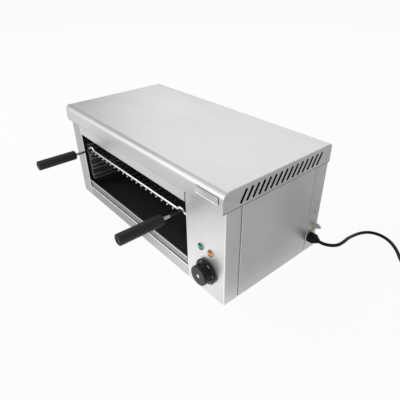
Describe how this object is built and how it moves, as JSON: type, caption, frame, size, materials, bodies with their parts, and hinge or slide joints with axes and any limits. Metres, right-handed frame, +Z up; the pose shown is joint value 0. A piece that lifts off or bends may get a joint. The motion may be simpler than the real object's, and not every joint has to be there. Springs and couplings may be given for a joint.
{
  "type": "cheese melter",
  "caption": "Counter-top electric cheese melter: steel casing with an open front, sliding wire rack with black grips, drip tray, thermostat knob, lamps and supply cord.",
  "frame": {"origin": "on the counter under the feet, below the middle of the box round the appliance with its grips, without its supply cord", "axes": "+X to the operator's right, +Y from the front to the back, +Z up"},
  "size_m": [0.8732, 0.6518, 0.262],
  "materials": {
    "steel_casing": "satin stainless sheet",
    "steel_tray": "satin stainless sheet",
    "steel_oven": "blackened steel inside the grill space",
    "wire_chrome": "bright plated wire",
    "rod_black": "blackened rod",
    "grip_black": "fine satin phenolic",
    "knob_black": "satin phenolic",
    "disc_silver": "plain satin disc",
    "sheath_steel": "heat-tinted sheath",
    "zinc_steel": "zinc plated",
    "ceramic": "unglazed ceramic",
    "fibre": "needled ceramic fibre",
    "brass_parts": "plain",
    "case_dark": "moulded",
    "lens_green": "clear tinted",
    "lens_orange": "clear tinted",
    "bezel_plastic": "moulded",
    "lead_insulation": "silicone insulation",
    "rubber_black": "satin",
    "gland_black": "moulded nylon",
    "patch_yellow": "plain film"
  },
  "bodies": {
    "casing": {"hood": "steel_casing", "front_fascia": "steel_casing", "left_front_post": "steel_casing", "control_panel": "steel_casing", "left_side_cover": "steel_casing", "right_side_cover": "steel_casing", "back_panel": "steel_casing", "base_front_rail": "steel_casing", "base_pan": "steel_casing", "badge_plate": "steel_casing", "space_left_wall": "steel_oven", "space_right_wall": "steel_oven", "space_back_wall": "steel_oven", "heat_reflector": "steel_oven", "fibre_blanket": "fibre", "left_runner": "steel_oven", "right_runner": "steel_oven", "tray_guides": "steel_oven", "heating_elements": "sheath_steel", "element_brackets": "steel_oven", "element_bushes": "ceramic", "element_insulators": "ceramic", "element_pins": "zinc_steel", "thermostat_body": "case_dark", "thermostat_bulb": "brass_parts", "bulb_clips": "zinc_steel", "capillary_tube": "brass_parts", "thermostat_screws": "zinc_steel", "green_lens": "lens_green", "orange_lens": "lens_orange", "lamp_bezels": "bezel_plastic", "lamp_bodies": "bezel_plastic", "lamp_nuts": "zinc_steel", "terminal_block": "ceramic", "terminal_screws": "brass_parts", "wiring_loom": "lead_insulation", "supply_tail": "rubber_black", "cable_gland": "gland_black", "gland_nut": "gland_black", "earth_stud": "zinc_steel", "earth_nuts": "zinc_steel", "earth_patch": "patch_yellow", "casing_screws": "zinc_steel", "hood_rivets": "zinc_steel", "rubber_feet": "rubber_black", "foot_screws": "zinc_steel", "mains_cord": "rubber_black", "cord_coil": "rubber_black", "mains_plug": "rubber_black", "plug_pins": "zinc_steel"},
    "rack": {"rack": "wire_chrome", "handle_rods": "rod_black", "handle_ferrules": "wire_chrome", "left_grip": "grip_black", "right_grip": "grip_black"},
    "tray": {"drip_tray": "steel_tray"},
    "knob": {"thermostat_knob": "knob_black", "knob_disc": "disc_silver", "thermostat_spindle": "zinc_steel"}
  },
  "joints": [
    {"name": "rack_slide", "type": "slide", "parent": "casing", "child": "rack", "axis": [0, -1, 0], "range_m": [0, 0.16]},
    {"name": "tray_slide", "type": "slide", "parent": "casing", "child": "tray", "axis": [0, -1, 0], "range_m": [0, 0.2]},
    {"name": "knob_turn", "type": "hinge", "parent": "casing", "child": "knob", "pos_m": [0.2423, -0.086, 0.0655], "axis": [0, 1, 0], "range_deg": [0, 270]}
  ]
}
